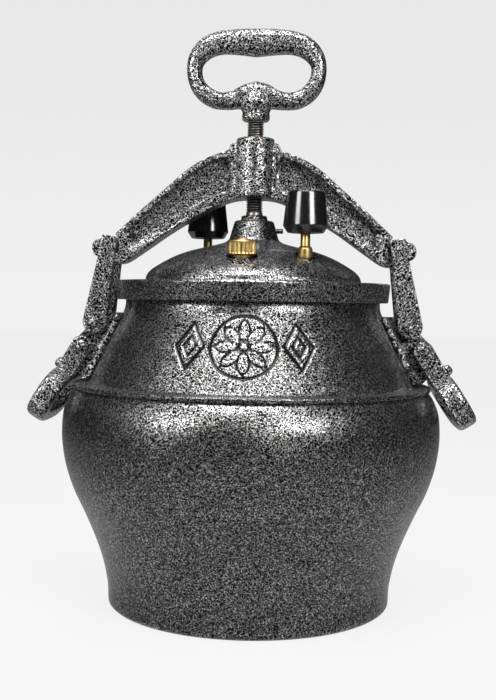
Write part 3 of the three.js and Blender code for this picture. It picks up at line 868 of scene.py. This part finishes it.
NIPPLE = softened([(2.5, 225.1), (4.7, 225.1), (4.7, 243.8), (6.4, 243.8), (6.4, 252.3), (2.5, 252.3)],
                  0.4)
PLUG_WASHER = softened([(5.1, 232.2), (7.3, 232.2), (7.3, 233.7), (5.1, 233.7)], 0.3)
BURST_DISC = [(0, 256.3), (2, 256), (3.6, 255), (4.5, 253.4), (4.6, 252.7), (6.3, 252.7), (6.4, 253.2),
              (5.4, 253.4), (4.7, 254.7), (3.4, 256), (1.8, 256.7), (0, 256.9)]
PLUG_CAP = [(6.9, 245.5, False), (8.5, 245.4, False), (9.2, 246.0, True), (9.35, 246.6, True),
            (9.35, 247.4, True), (9.35, 252.4, True), (9.35, 253.3, True), (9.2, 254.1, True),
            (8.6, 254.8, False), (5.8, 254.9, False), (5.5, 254.6, False), (5.5, 253.6, False),
            (6.9, 253.6, False)]  # radius, height, and whether the knurling is there

plumbing("plug_nipple", NIPPLE, "lid", BRASS, "safety_nipple", SAFETY)
plumbing("plug_washer", PLUG_WASHER, "lid", COPPER, "safety_washer", SAFETY)
turned_piece("plug_nut", hex_nut(13, 226.9, 231.9, 5.0, *SAFETY), "lid", BRASS, "safety_nut")
plumbing("plug_disc", BURST_DISC, "lid", COPPER, "burst_disc", SAFETY)
turned_piece("plug_cap", shifted(knurled(PLUG_CAP, 24, 0.8, 245.9, 254.2), *SAFETY), "lid", BRASS,
             "safety_cap", crease=40)


# ------------------------------------------------------------------ floor, light and camera

def glowing_white(name):
    """White that is lit evenly from within, as a light table is, so it shows only soft shadows."""
    material = bpy.data.materials.new(name)
    material.use_nodes = True
    surface = material.node_tree.nodes["Principled BSDF"]
    surface.inputs["Base Color"].default_value = grey(0.018)
    surface.inputs["Roughness"].default_value = 0.7
    surface.inputs["Emission Color"].default_value = grey(1)
    surface.inputs["Emission Strength"].default_value = 0.85
    return material


def add_floor():
    """A wide plain floor. The pot mirrors the world's own glow from below instead of it."""
    mesh = bpy.data.meshes.new("floor")
    half = 6.0
    corners = [(-half, -half, 0), (half, -half, 0), (half, half, 0), (-half, half, 0)]
    mesh.from_pydata(corners, [], [(0, 1, 2, 3)])
    mesh.materials.append(glowing_white("floor_white"))
    floor = bpy.data.objects.new("floor", mesh)
    bpy.context.scene.collection.objects.link(floor)
    floor.location.z = -0.0003
    floor.visible_glossy = False
    floor.visible_diffuse = False


def softbox(name, azimuth, elevation, distance, width, height, power):
    """An area light aimed at the pot's middle. Azimuth 0 is the front, 90 the right side."""
    data = bpy.data.lights.new(name, "AREA")
    data.shape = "RECTANGLE"
    data.size, data.size_y = width, height
    data.energy = power
    lamp = bpy.data.objects.new(name, data)
    bpy.context.scene.collection.objects.link(lamp)
    a, e = math.radians(azimuth), math.radians(elevation)
    way = Vector((math.sin(a) * math.cos(e), -math.cos(a) * math.cos(e), math.sin(e)))
    middle = Vector((0, 0, 0.18))
    lamp.location = middle + way * distance
    lamp.rotation_euler = (-way).to_track_quat("-Z", "Y").to_euler()


def add_world(above, below):
    """A pale sweep behind the object, in a room that is dim but for a glow from below."""
    world = bpy.data.worlds.new("studio")
    world.use_nodes = True
    tree = world.node_tree
    split = tree.nodes.new("ShaderNodeSeparateXYZ")
    tree.links.new(tree.nodes.new("ShaderNodeTexCoord").outputs["Generated"], split.inputs[0])

    def by_height(node, low, high, at_low, at_high):
        """Sets a background's strength by the direction's height, -1 straight down to 1 up."""
        ramp = tree.nodes.new("ShaderNodeMapRange")
        for key, value in (("From Min", low), ("From Max", high), ("To Min", at_low), ("To Max", at_high)):
            ramp.inputs[key].default_value = value
        tree.links.new(split.outputs["Z"], ramp.inputs["Value"])
        tree.links.new(ramp.outputs["Result"], node.inputs["Strength"])

    room = tree.nodes["Background"]
    room.inputs["Color"].default_value = (0.97, 0.98, 1.0, 1)
    by_height(room, -0.5, -0.02, below, above)
    sweep = tree.nodes.new("ShaderNodeBackground")
    sweep.inputs["Color"].default_value = (1, 1, 1, 1)
    by_height(sweep, 0.0, 0.22, 0.875, 0.81)
    both = tree.nodes.new("ShaderNodeMixShader")
    tree.links.new(tree.nodes.new("ShaderNodeLightPath").outputs["Is Camera Ray"], both.inputs[0])
    tree.links.new(room.outputs[0], both.inputs[1])
    tree.links.new(sweep.outputs[0], both.inputs[2])
    tree.links.new(both.outputs[0], tree.nodes["World Output"].inputs["Surface"])
    bpy.context.scene.world = world


def add_camera():
    focal_px, frame_px = 1092.0, (496, 700)
    distance, height = 0.780, 0.216
    turn, pitch, lean = math.radians(3.0), math.radians(2.63), math.radians(0.95)
    side_shift = 0.0029  # the object stands a little right of the frame's middle
    data = bpy.data.cameras.new("camera")
    data.sensor_width = 36.0
    data.lens = focal_px * data.sensor_width / max(frame_px)
    camera = bpy.data.objects.new("camera", data)
    bpy.context.scene.collection.objects.link(camera)
    place = Vector((math.sin(turn) * distance, -math.cos(turn) * distance, height))
    right = Vector((math.cos(turn), math.sin(turn), 0))
    target = Vector((0, 0, height - distance * math.tan(pitch))) - right * side_shift
    aim = (target - place).to_track_quat("-Z", "Y").to_matrix().to_4x4()
    camera.matrix_world = Matrix.Translation(place) @ aim @ Matrix.Rotation(lean, 4, "Z")
    bpy.context.scene.camera = camera


add_floor()
add_world(above=0.015, below=0.8)
softbox("left_softbox", -41, 23, 1.3, 0.46, 0.42, 11)
softbox("right_softbox", 35, 23, 1.3, 0.46, 0.42, 17)
softbox("front_softbox", -3, 62, 1.3, 0.95, 0.42, 31)
softbox("top_softbox", 0, 84, 1.2, 0.9, 0.6, 8)
softbox("rear_softbox", 180, 45, 1.6, 1.2, 0.8, 5)
add_camera()
bpy.context.scene.view_settings.view_transform = "Standard"
